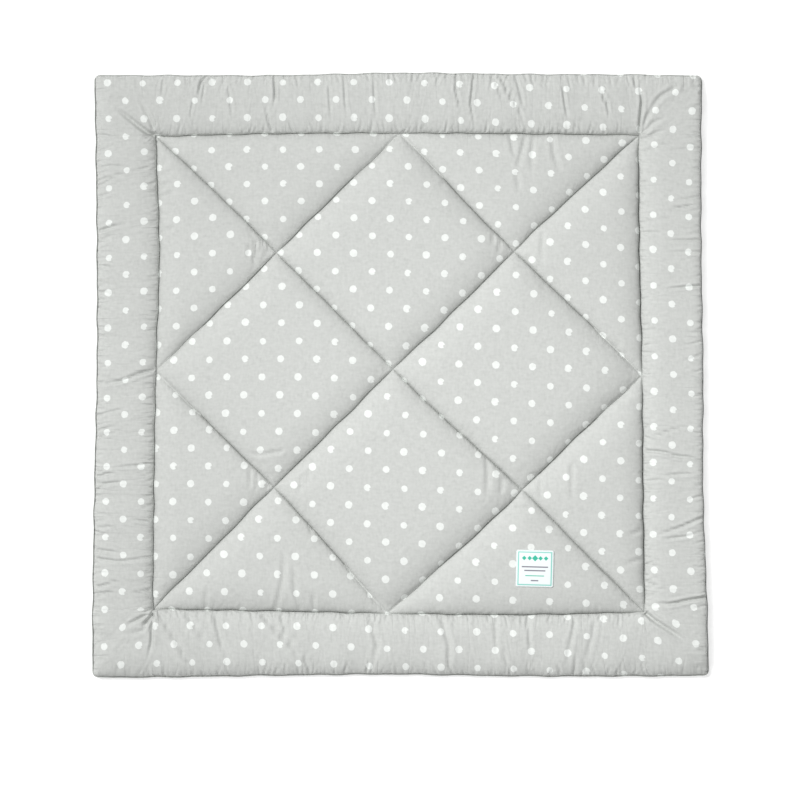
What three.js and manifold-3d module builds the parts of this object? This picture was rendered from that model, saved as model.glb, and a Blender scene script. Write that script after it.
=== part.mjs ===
// A square quilted changing mat of dotted cotton over wadding, lying flat, with a sewn-on label.
// Millimetres, +Z up. The mat lies on z = 0, centred on the origin; +Y is the head edge, +X the right.
// It is one filled solid: a stitched square frame, four square panels set on their corners and eight
// triangles inside it, and a plain padded border round it. The seams show on both faces.
import * as THREE from "three";
import { mergeVertices } from "three/addons/utils/BufferGeometryUtils.js";
import Module from "manifold-3d";

// The quilting pattern, before the wadding pulls it out of true. Diagonal seams cross it in both
// directions, one for every FRAME_HALF along a side.
const FRAME_HALF = 400; // from the middle to the stitched square
const EDGE_HALF = 500; // from the middle to the sewn outer edge
const BORDER_WIDTH = EDGE_HALF - FRAME_HALF;
const PANEL_HALF = FRAME_HALF / Math.SQRT2 / 2; // from the middle of a square panel to its seams
const CORNER_ROUND = 10; // how far the rounding of an outer corner runs along each side

// Heights above the floor
const SEAM_TOP = 6.5; // top cloth where it is sewn down
const SEAM_UNDER = 4; // underside cloth where it is sewn up
const EDGE_HEIGHT = 9; // where top and underside are sewn together

// How far the wadding lifts the top cloth above its seams, and how far from a seam it is nearly full
const SQUARE_LOFT = 24.5;
const TRIANGLE_LOFT = 22.5;
const BORDER_LOFT = 18.5;
const CROWN = 0.15; // the share of a panel's loft that only its middle has
const STEEPNESS = 0.4; // below 0.5, the cloth stands up more steeply beside a seam than an arc would
const PANEL_SHOULDER = 62;
const FRAME_SHOULDER = 48;
const BORDER_SHOULDER = 42;
const EDGE_SHOULDER = 36;
const UNDER_SHOULDER = 20; // the underside is flat on the floor this far from a seam
const UNDER_EDGE_SHOULDER = 14; // and this far from the outer edge

// The grid of the faces: FRAME_CELLS cells from the middle to the frame, then the border's own lines
const FRAME_CELLS = 24;
const BORDER_STEPS = [5, 14, 30, 50, 70, 86, 96, BORDER_WIDTH];
const SEAM_DRAW = 0.6; // how strongly the grid is drawn in to the diagonal seams, 0 to 1
const FRAME_DRAW = 0.4; // the same for the frame seam

// Where the lines of the pattern really lie, a row for each line across the mat. The columns are the
// left edge, left frame seam, left crossings, middle, right crossings, right frame seam, right edge.
const NOMINAL = [-500, -400, -200, 0, 200, 400, 500];
const LINES = [
  {
    line: "foot edge",
    x: [-508, -408, -207, -15, 202, 405, 511],
    y: [-500, -500, -497, -495, -498, -498, -497],
  },
  {
    line: "foot frame seam",
    x: [-508, -408, -207, -19, 202, 405, 509],
    y: [-387, -387, -390, -394, -396, -392, -392],
  },
  {
    line: "foot crossings",
    x: [-505, -406, -208, -9, 203, 402, 502],
    y: [-185, -185, -185, -190, -190, -190, -190],
  },
  {
    line: "middle",
    x: [-501, -403, -207, -11, 195, 401, 502],
    y: [7, 7, 8, 10, 5, 0, 0],
  },
  {
    line: "head crossings",
    x: [-501, -397, -203, -5, 189, 396, 499],
    y: [202, 202, 202, 205, 205, 204, 204],
  },
  {
    line: "head frame seam",
    x: [-503, -403, -202, 1, 189, 395, 499],
    y: [395, 395, 399, 400, 399, 397, 397],
  },
  {
    line: "head edge",
    x: [-505, -403, -202, 1, 189, 395, 500],
    y: [496, 496, 496, 500, 498, 497, 495],
  },
];

// The deep creases where the border's spare cloth gathers outside a corner of the frame: where one
// starts, how far and at what angle it runs (degrees from +X), its depth and its half-width
const CREASES = [
  { place: "head left corner", x: -404, y: 398, run: 46, turn: 155, depth: 5, half: 15 },
  { place: "head right corner", x: 397, y: 402, run: 62, turn: 84, depth: 5, half: 14 },
  { place: "foot left corner", x: -411, y: -392, run: 40, turn: 243, depth: 5, half: 14 },
  { place: "foot right corner", x: 409, y: -397, run: 72, turn: 325, depth: 5, half: 15 },
];

// The broad ripples of the border's cloth, which run across it from the frame seam to the edge and
// lean a little
const RIPPLE_HEIGHT = 1.2;
const RIPPLE_LENGTH = 88;
const RIPPLE_LEAN = 0.3;

// The label, sewn on flat near the foot right corner
const LABEL = { x: 223, y: -319, width: 62, height: 61, turn: -1.5, round: 3 };
const LABEL_THICK = 1;
const LABEL_GAP = 0.3; // between the label and the cloth below it
const SLAB_MARGIN = 40; // how far the slab that the label is cut from reaches past its corners
const MERGE_WITHIN = 1e-4; // points nearer than this are one

const COTTON = new THREE.MeshStandardMaterial({
  name: "cotton",
  color: new THREE.Color().setRGB(0.83, 0.84, 0.83, THREE.SRGBColorSpace),
  roughness: 0.9,
  metalness: 0,
});
const SATIN = new THREE.MeshStandardMaterial({
  name: "label",
  color: new THREE.Color().setRGB(0.95, 0.97, 0.97, THREE.SRGBColorSpace),
  roughness: 0.6,
  metalness: 0,
});

const wasm = await Module();
wasm.setup();

// The lines of the grid along one side of the mat, from -EDGE_HALF to EDGE_HALF
function gridLines() {
  const inner = [];
  for (let i = -FRAME_CELLS; i <= FRAME_CELLS; i++) {
    inner.push((i * FRAME_HALF) / FRAME_CELLS);
  }
  const outer = BORDER_STEPS.map((step) => FRAME_HALF + step);
  return [...outer.map((line) => -line).reverse(), ...inner, ...outer];
}

const GRID = gridLines();
const LAST = GRID.length - 1;

// A length along a side drawn in to each multiple of FRAME_HALF, which all stay where they are
function draw(length, strength) {
  const turns = (2 * Math.PI) / FRAME_HALF;
  return length - (strength / turns) * Math.sin(turns * length);
}

// A point of the pattern moved nearer to its seams, so that the grid is finest along them. The
// diagonals and the frame keep their places.
function drawToSeams(x, y) {
  const [inX, inY] = [Math.abs(x) <= FRAME_HALF, Math.abs(y) <= FRAME_HALF];
  const acrossX = inX ? draw(x, FRAME_DRAW) : x;
  const acrossY = inY ? draw(y, FRAME_DRAW) : y;
  if (inX && inY) {
    const rising = draw(acrossX + acrossY, SEAM_DRAW);
    const falling = draw(acrossX - acrossY, SEAM_DRAW);
    return [(rising + falling) / 2, (rising - falling) / 2];
  }
  return [inX ? draw(acrossX, SEAM_DRAW) : x, inY ? draw(acrossY, SEAM_DRAW) : y];
}

// An outer corner rounded off
function roundCorner(x, y) {
  const start = EDGE_HALF - CORNER_ROUND;
  const a = (Math.abs(x) - start) / CORNER_ROUND;
  const b = (Math.abs(y) - start) / CORNER_ROUND;
  if (a <= 0 || b <= 0) {
    return [x, y];
  }
  const roundX = start + CORNER_ROUND * a * Math.sqrt(1 - (b * b) / 2);
  const roundY = start + CORNER_ROUND * b * Math.sqrt(1 - (a * a) / 2);
  return [Math.sign(x) * roundX, Math.sign(y) * roundY];
}

// A smooth curve through the values given at the NOMINAL places
function through(values, at) {
  let i = 0;
  while (i < NOMINAL.length - 2 && at > NOMINAL[i + 1]) {
    i++;
  }
  const slope = (j) => {
    const before = Math.max(j - 1, 0);
    const after = Math.min(j + 1, NOMINAL.length - 1);
    return (values[after] - values[before]) / (NOMINAL[after] - NOMINAL[before]);
  };
  const span = NOMINAL[i + 1] - NOMINAL[i];
  const t = (at - NOMINAL[i]) / span;
  const s = 1 - t;
  return (
    values[i] * (1 + 2 * t) * s * s +
    slope(i) * span * t * s * s +
    values[i + 1] * (3 - 2 * t) * t * t -
    slope(i + 1) * span * t * t * s
  );
}

// Where a point of the pattern really lies, by LINES
function place(x, y) {
  return ["x", "y"].map((axis) => through(LINES.map((row) => through(row[axis], x)), y));
}

// From 0 at a seam to 1 at the shoulder's distance, steep at first like the side of a cushion
function rise(distance, shoulder) {
  const t = THREE.MathUtils.clamp(distance / shoulder, 0, 1);
  return (1 - (1 - t) ** 2) ** STEEPNESS;
}

// The distance from the nearest seam of the family of parallel diagonals that this one is in
function fromDiagonal(across) {
  const lines = across / FRAME_HALF;
  return (Math.abs(lines - Math.round(lines)) * FRAME_HALF) / Math.SQRT2;
}

// How far inside the frame seam a point of the pattern is, or outside where this is below 0
function insideFrame(x, y) {
  return FRAME_HALF - Math.max(Math.abs(x), Math.abs(y));
}

// How much lower the creases make the cloth at a real place
function creaseDepth(x, y) {
  let depth = 0;
  for (const crease of CREASES) {
    const turn = THREE.MathUtils.degToRad(crease.turn);
    const [dx, dy] = [x - crease.x, y - crease.y];
    const along = dx * Math.cos(turn) + dy * Math.sin(turn);
    const across = Math.abs(dy * Math.cos(turn) - dx * Math.sin(turn));
    const fade = THREE.MathUtils.clamp(1 - along / crease.run, 0, 1);
    const start = THREE.MathUtils.clamp(1 + along / crease.half, 0, 1);
    const side = THREE.MathUtils.smoothstep(crease.half - across, 0, crease.half);
    depth += crease.depth * fade * start * side;
  }
  return depth;
}

// Height of the top cloth over a panel, at a point of the pattern inside the frame
function panelHeight(x, y) {
  const loft = Math.abs(x) + Math.abs(y) < FRAME_HALF ? SQUARE_LOFT : TRIANGLE_LOFT;
  const filled = (shoulder, frameShoulder) =>
    rise(fromDiagonal(x + y), shoulder) *
    rise(fromDiagonal(x - y), shoulder) *
    rise(insideFrame(x, y), frameShoulder);
  const sides = (1 - CROWN) * filled(PANEL_SHOULDER, FRAME_SHOULDER);
  const middle = CROWN * filled(PANEL_HALF, PANEL_HALF);
  return SEAM_TOP + loft * (sides + middle);
}

// Height of the top cloth over the border, at a point of the pattern outside the frame
function borderHeight(x, y) {
  const outX = Math.max(Math.abs(x) - FRAME_HALF, 0);
  const outY = Math.max(Math.abs(y) - FRAME_HALF, 0);
  const edge = rise(BORDER_WIDTH - outX, EDGE_SHOULDER) * rise(BORDER_WIDTH - outY, EDGE_SHOULDER);
  const base = THREE.MathUtils.lerp(SEAM_TOP, EDGE_HEIGHT, Math.max(outX, outY) / BORDER_WIDTH);
  const along = outX > outY ? y + RIPPLE_LEAN * outX : x + RIPPLE_LEAN * outY;
  const offCorner = Math.abs(outX - outY) / BORDER_WIDTH;
  const ripple = RIPPLE_HEIGHT * offCorner * Math.sin((along * 2 * Math.PI) / RIPPLE_LENGTH);
  return base + (BORDER_LOFT + ripple) * rise(Math.hypot(outX, outY), BORDER_SHOULDER) * edge;
}

// Height of the top cloth at a point of the pattern that really lies at the place given after it
function topHeight(x, y, realX, realY) {
  const height = insideFrame(x, y) >= 0 ? panelHeight(x, y) : borderHeight(x, y);
  return height - creaseDepth(realX, realY);
}

// Height of the underside: flat on the floor but for shallow channels along the seams and the edge
function underHeight(x, y) {
  const inward = insideFrame(x, y);
  const seams = [Math.abs(inward)];
  if (inward >= 0) {
    seams.push(fromDiagonal(x + y), fromDiagonal(x - y));
  }
  const seamLift = SEAM_UNDER * (1 - rise(Math.min(...seams), UNDER_SHOULDER));
  const edgeLift = EDGE_HEIGHT * (1 - rise(inward + BORDER_WIDTH, UNDER_EDGE_SHOULDER));
  return Math.max(seamLift, edgeLift);
}

// Whether a point of the grid is on the outer edge, where top and underside share it
function isRim(i, j) {
  return i === 0 || j === 0 || i === LAST || j === LAST;
}

// A cell of the grid is split along the diagonal that runs with the seam nearest to it, the rising
// one (towards +X and +Y) or the falling one. The cell starts at line i and j and is size lines wide.
function splitsRising(i, j, size) {
  const x = (GRID[i] + GRID[i + size]) / 2;
  const y = (GRID[j] + GRID[j + size]) / 2;
  return fromDiagonal(x - y) <= fromDiagonal(x + y) + MERGE_WITHIN;
}

// The two triangles of a cell, whose corners go round from the low one, anticlockwise from above
function cellFaces([a, b, c, d], rising) {
  return rising ? [a, b, c, a, c, d] : [a, b, d, b, c, d];
}

// An underside cell, seen from below: a fan of triangles round one of its corners. A cell at the outer
// edge also has the points between the edge's corners, and its fan starts from an inner corner.
function underFaces(i, j, underAt) {
  const round = [
    [i, j],
    [i + 1, j],
    [i + 2, j],
    [i + 2, j + 1],
    [i + 2, j + 2],
    [i + 1, j + 2],
    [i, j + 2],
    [i, j + 1],
  ];
  if (!splitsRising(i, j, 2)) {
    round.push(...round.splice(0, 2));
  }
  const fan = round.filter(([m, n]) => underAt[m][n] !== undefined);
  while (isRim(...fan[0])) {
    fan.push(fan.shift());
  }
  const corners = fan.map(([m, n]) => underAt[m][n]);
  const faces = [];
  for (let k = 1; k < corners.length - 1; k++) {
    faces.push(corners[0], corners[k + 1], corners[k]);
  }
  return faces;
}

// The mat: a top face on every line of the grid, and an underside on every second line that shares
// the top face's outer edge
function matGeometry() {
  const points = [];
  const faces = [];
  const addPoint = (i, j, height) => {
    const pattern = drawToSeams(GRID[i], GRID[j]);
    const real = place(...roundCorner(...pattern));
    points.push(...real, isRim(i, j) ? EDGE_HEIGHT : height(...pattern, ...real));
    return points.length / 3 - 1;
  };
  const topAt = GRID.map((_, i) => GRID.map((_, j) => addPoint(i, j, topHeight)));
  const underPoint = (i, j) => {
    if (isRim(i, j)) {
      return topAt[i][j];
    }
    return i % 2 === 0 && j % 2 === 0 ? addPoint(i, j, underHeight) : undefined;
  };
  const underAt = GRID.map((_, i) => GRID.map((_, j) => underPoint(i, j)));

  for (let i = 0; i < LAST; i++) {
    for (let j = 0; j < LAST; j++) {
      const corners = [topAt[i][j], topAt[i + 1][j], topAt[i + 1][j + 1], topAt[i][j + 1]];
      faces.push(...cellFaces(corners, splitsRising(i, j, 1)));
    }
  }
  for (let i = 0; i < LAST; i += 2) {
    for (let j = 0; j < LAST; j += 2) {
      faces.push(...underFaces(i, j, underAt));
    }
  }
  return { points, faces, topAt };
}

// A three.js geometry with flat faces from shared points
function facetedGeometry(points, faces) {
  const shared = new THREE.BufferGeometry();
  shared.setAttribute("position", new THREE.Float32BufferAttribute(points, 3));
  shared.setIndex(faces);
  const flat = shared.toNonIndexed();
  flat.computeVertexNormals();
  return flat;
}

// A geometry as a solid that can be cut
function toSolid(geometry) {
  const bare = geometry.clone();
  bare.deleteAttribute("normal");
  bare.deleteAttribute("uv");
  const merged = mergeVertices(bare, MERGE_WITHIN);
  return new wasm.Manifold(
    new wasm.Mesh({
      numProp: 3,
      vertProperties: merged.attributes.position.array,
      triVerts: new Uint32Array(merged.index.array),
    }),
  );
}

function fromSolid(solid) {
  const mesh = solid.getMesh();
  return facetedGeometry(Array.from(mesh.vertProperties), Array.from(mesh.triVerts));
}

// The label's outline with round corners, standing upright through the mat where the label lies
function labelPrism() {
  const { width, height, round } = LABEL;
  const [right, up] = [width / 2, height / 2];
  const outline = new THREE.Shape();
  outline.moveTo(-right + round, -up);
  outline.lineTo(right - round, -up);
  outline.absarc(right - round, -up + round, round, -Math.PI / 2, 0);
  outline.absarc(right - round, up - round, round, 0, Math.PI / 2);
  outline.absarc(-right + round, up - round, round, Math.PI / 2, Math.PI);
  outline.absarc(-right + round, -up + round, round, Math.PI, 1.5 * Math.PI);
  const prism = new THREE.ExtrudeGeometry(outline, {
    depth: SEAM_TOP + 2 * SQUARE_LOFT,
    bevelEnabled: false,
    curveSegments: 4,
  });
  prism.rotateZ(THREE.MathUtils.degToRad(LABEL.turn));
  prism.translate(LABEL.x, LABEL.y, 0);
  return prism;
}

// A thin slab above the top cloth round the label, made of the same cells as the cloth
function labelSlab(mat) {
  const reach = Math.hypot(LABEL.width, LABEL.height) / 2 + SLAB_MARGIN;
  const columns = [...GRID.keys()].filter((i) => Math.abs(GRID[i] - LABEL.x) < reach);
  const rows = [...GRID.keys()].filter((j) => Math.abs(GRID[j] - LABEL.y) < reach);
  const points = [];
  const faces = [];
  const layer = (lift) =>
    columns.map((i) =>
      rows.map((j) => {
        const [x, y, z] = mat.points.slice(3 * mat.topAt[i][j], 3 * mat.topAt[i][j] + 3);
        points.push(x, y, z + lift);
        return points.length / 3 - 1;
      }),
    );
  const [below, above] = [layer(LABEL_GAP), layer(LABEL_GAP + LABEL_THICK)];
  const cell = (at, m, n) => [at[m][n], at[m + 1][n], at[m + 1][n + 1], at[m][n + 1]];
  for (let m = 0; m < columns.length - 1; m++) {
    for (let n = 0; n < rows.length - 1; n++) {
      const rising = splitsRising(columns[m], rows[n], 1);
      faces.push(...cellFaces(cell(above, m, n), rising));
      faces.push(...cellFaces(cell(below, m, n), rising).reverse());
    }
  }

  // The walls go once round the slab, anticlockwise from above
  const [right, back] = [columns.length - 1, rows.length - 1];
  const around = [
    ...columns.map((_, m) => [m, 0]),
    ...rows.map((_, n) => [right, n]).slice(1),
    ...columns.map((_, m) => [right - m, back]).slice(1),
    ...rows.map((_, n) => [0, back - n]).slice(1),
  ];
  for (let k = 0; k < around.length - 1; k++) {
    const [m, n] = around[k];
    const [p, q] = around[k + 1];
    faces.push(...cellFaces([below[m][n], below[p][q], above[p][q], above[m][n]], true));
  }
  return facetedGeometry(points, faces);
}

// The label lies on the top cloth and bends with it
function labelGeometry(mat) {
  return fromSolid(toSolid(labelSlab(mat)).intersect(toSolid(labelPrism())));
}

function namedMesh(name, geometry, material) {
  const mesh = new THREE.Mesh(geometry, material);
  mesh.name = name;
  return mesh;
}

// The pieces, moved so that the middle of their outline is over the origin and they stand on z = 0
function centred(pieces) {
  const box = new THREE.Box3().setFromObject(pieces);
  const middle = box.getCenter(new THREE.Vector3());
  pieces.position.set(-middle.x, -middle.y, -box.min.z);
  const part = new THREE.Group();
  part.add(pieces);
  return part;
}

const mat = matGeometry();
const pieces = new THREE.Group();
pieces.add(namedMesh("mat", facetedGeometry(mat.points, mat.faces), COTTON));
pieces.add(namedMesh("label", labelGeometry(mat), SATIN));

export default centred(pieces);
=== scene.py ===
"""The looks of a square quilted changing mat of dotted cotton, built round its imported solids.

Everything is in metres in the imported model's frame: +Z up, the mat lying on z = 0, +Y its head edge.
The cover is one closed mesh that follows the same pattern as the solid. Its top cloth is settled by
a cloth simulation, and its dots, weave, creases and stitches are made here.
"""

import math
import random

import bpy
import numpy as np
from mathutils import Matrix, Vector
from mathutils.bvhtree import BVHTree


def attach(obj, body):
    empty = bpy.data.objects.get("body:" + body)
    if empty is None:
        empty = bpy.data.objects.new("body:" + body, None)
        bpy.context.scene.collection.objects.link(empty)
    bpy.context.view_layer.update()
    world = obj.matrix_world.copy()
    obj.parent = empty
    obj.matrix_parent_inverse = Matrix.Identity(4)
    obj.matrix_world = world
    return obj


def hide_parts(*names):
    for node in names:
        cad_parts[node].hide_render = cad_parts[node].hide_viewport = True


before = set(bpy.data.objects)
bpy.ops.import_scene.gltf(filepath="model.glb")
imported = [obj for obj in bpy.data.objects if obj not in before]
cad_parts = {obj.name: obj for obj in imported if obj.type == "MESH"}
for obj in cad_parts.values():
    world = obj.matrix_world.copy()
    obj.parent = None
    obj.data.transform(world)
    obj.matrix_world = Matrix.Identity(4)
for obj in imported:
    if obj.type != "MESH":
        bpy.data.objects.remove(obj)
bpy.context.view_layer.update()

MM = 0.001

# The quilting pattern, before the wadding pulls it out of true. Diagonal seams cross it in both
# directions, one for every FRAME_HALF along a side.
FRAME_HALF = 0.400  # from the middle to the stitched square
EDGE_HALF = 0.500  # from the middle to the sewn outer edge
BORDER_WIDTH = EDGE_HALF - FRAME_HALF
PANEL_HALF = FRAME_HALF / math.sqrt(2) / 2  # from the middle of a square panel to its seams
CORNER_ROUND = 0.010

# Heights above the floor, and how far the wadding lifts the top cloth above its seams
SEAM_TOP = 0.0065
SEAM_UNDER = 0.004
EDGE_HEIGHT = 0.009
SQUARE_LOFT = 0.0245
TRIANGLE_LOFT = 0.0225
BORDER_LOFT = 0.0185
CROWN = 0.15  # the share of a panel's loft that only its middle has
STEEPNESS = 0.4  # below 0.5, the cloth stands up more steeply beside a seam than an arc would

# How far from a seam the loft is nearly full
PANEL_SHOULDER = 0.062
FRAME_SHOULDER = 0.048
BORDER_SHOULDER = 0.042
EDGE_SHOULDER = 0.036
UNDER_SHOULDER = 0.020
UNDER_EDGE_SHOULDER = 0.014

# The broad ripples of the border's cloth, which run across it from the frame seam to the edge and
# lean a little
RIPPLE_HEIGHT = 0.0012
RIPPLE_LENGTH = 0.088
RIPPLE_LEAN = 0.3

# The ditch that the stitches pull into the top cloth right at a seam
DITCH_DEPTH = 0.0008
DITCH_HALF = 0.0017

# The outer edge's own seam runs a little inside the outline, and leaves a thin lip outside it
LIP_WIDTH = 0.0021
LIP_SEAM = 0.0086  # the height of that seam

# The mat isn't the same all round. The left edge's seam is pulled further down, and at the right the
# cloth stands up more steeply beside its seams. These differences fade out towards the corners.
LEFT_LIP_PULL = 0.0032
RIGHT_EDGE_SHOULDER = 0.014
RIGHT_EDGE_STEEPNESS = 0.12
RIGHT_FRAME_STEEPNESS = 0.30
SIDE_FADE = 0.030

# The seams and the outline aren't quite straight: they waver this far, over these lengths
WAVER = 0.0008
WAVER_LENGTHS = (0.067, 0.31)

# The grid of the cover: lines from the middle to the frame, and from the frame to the outer edge. The
# border's lines are given in millimetres from the frame seam. The steps say how many lines a cell
# spans, from the frame seam to the edge where there are several.
FRAME_LINES = 216
BORDER_OFFSETS = [
    *(0.5, 1.1, 1.9, 3, 4.5, 6.5, 9, 12, 15, 18.5, 22, 26, 30, 34, 38, 42, 46, 50, 54, 58, 62, 66),
    *(70, 74, 78, 81.5, 85, 88, 91, 93.5, 95.3, 96.5, 97.3, 97.9, 98.8, 100),
]
BORDER_LINES = len(BORDER_OFFSETS)
PANEL_STEP = 2
BORDER_STEPS = [1, 1, 1, 1, 1, 2, 2, 3, 3, 3, 3, 3, 2, 2, 2, 1, 1, 1, 1, 1, 1]
UNDER_PANEL_STEP = 6
UNDER_ALONG_STEP = 8
UNDER_BORDER_STEPS = [2, 3, 4, 6, 6, 6, 4, 3, 2]
SEAM_PULL = 0.6  # how strongly the grid is pulled in to the diagonal seams right beside them
FRAME_PULL = 0.7  # the same for the frame seam
PULL_REACH = 0.010
EVEN_AGAIN = 0.020  # how far out of the frame the border's lines are evenly spaced again

# Where the lines of the pattern really lie, a row for each line across the mat. The columns are the
# left edge, left frame seam, left crossings, middle, right crossings, right frame seam, right edge.
NOMINAL = np.array([-0.5, -0.4, -0.2, 0.0, 0.2, 0.4, 0.5])
LINES = [
    {
        "line": "foot edge",
        "x": [-0.508, -0.408, -0.207, -0.015, 0.202, 0.405, 0.511],
        "y": [-0.500, -0.500, -0.497, -0.495, -0.498, -0.498, -0.497],
    },
    {
        "line": "foot frame seam",
        "x": [-0.508, -0.408, -0.207, -0.019, 0.202, 0.405, 0.509],
        "y": [-0.387, -0.387, -0.390, -0.394, -0.396, -0.392, -0.392],
    },
    {
        "line": "foot crossings",
        "x": [-0.505, -0.406, -0.208, -0.009, 0.203, 0.402, 0.502],
        "y": [-0.185, -0.185, -0.185, -0.190, -0.190, -0.190, -0.190],
    },
    {
        "line": "middle",
        "x": [-0.501, -0.403, -0.207, -0.011, 0.195, 0.401, 0.502],
        "y": [0.007, 0.007, 0.008, 0.010, 0.005, 0.000, 0.000],
    },
    {
        "line": "head crossings",
        "x": [-0.501, -0.397, -0.203, -0.005, 0.189, 0.396, 0.499],
        "y": [0.202, 0.202, 0.202, 0.205, 0.205, 0.204, 0.204],
    },
    {
        "line": "head frame seam",
        "x": [-0.503, -0.403, -0.202, 0.001, 0.189, 0.395, 0.499],
        "y": [0.395, 0.395, 0.399, 0.400, 0.399, 0.397, 0.397],
    },
    {
        "line": "head edge",
        "x": [-0.505, -0.403, -0.202, 0.001, 0.189, 0.395, 0.500],
        "y": [0.496, 0.496, 0.496, 0.500, 0.498, 0.497, 0.495],
    },
]

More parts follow.
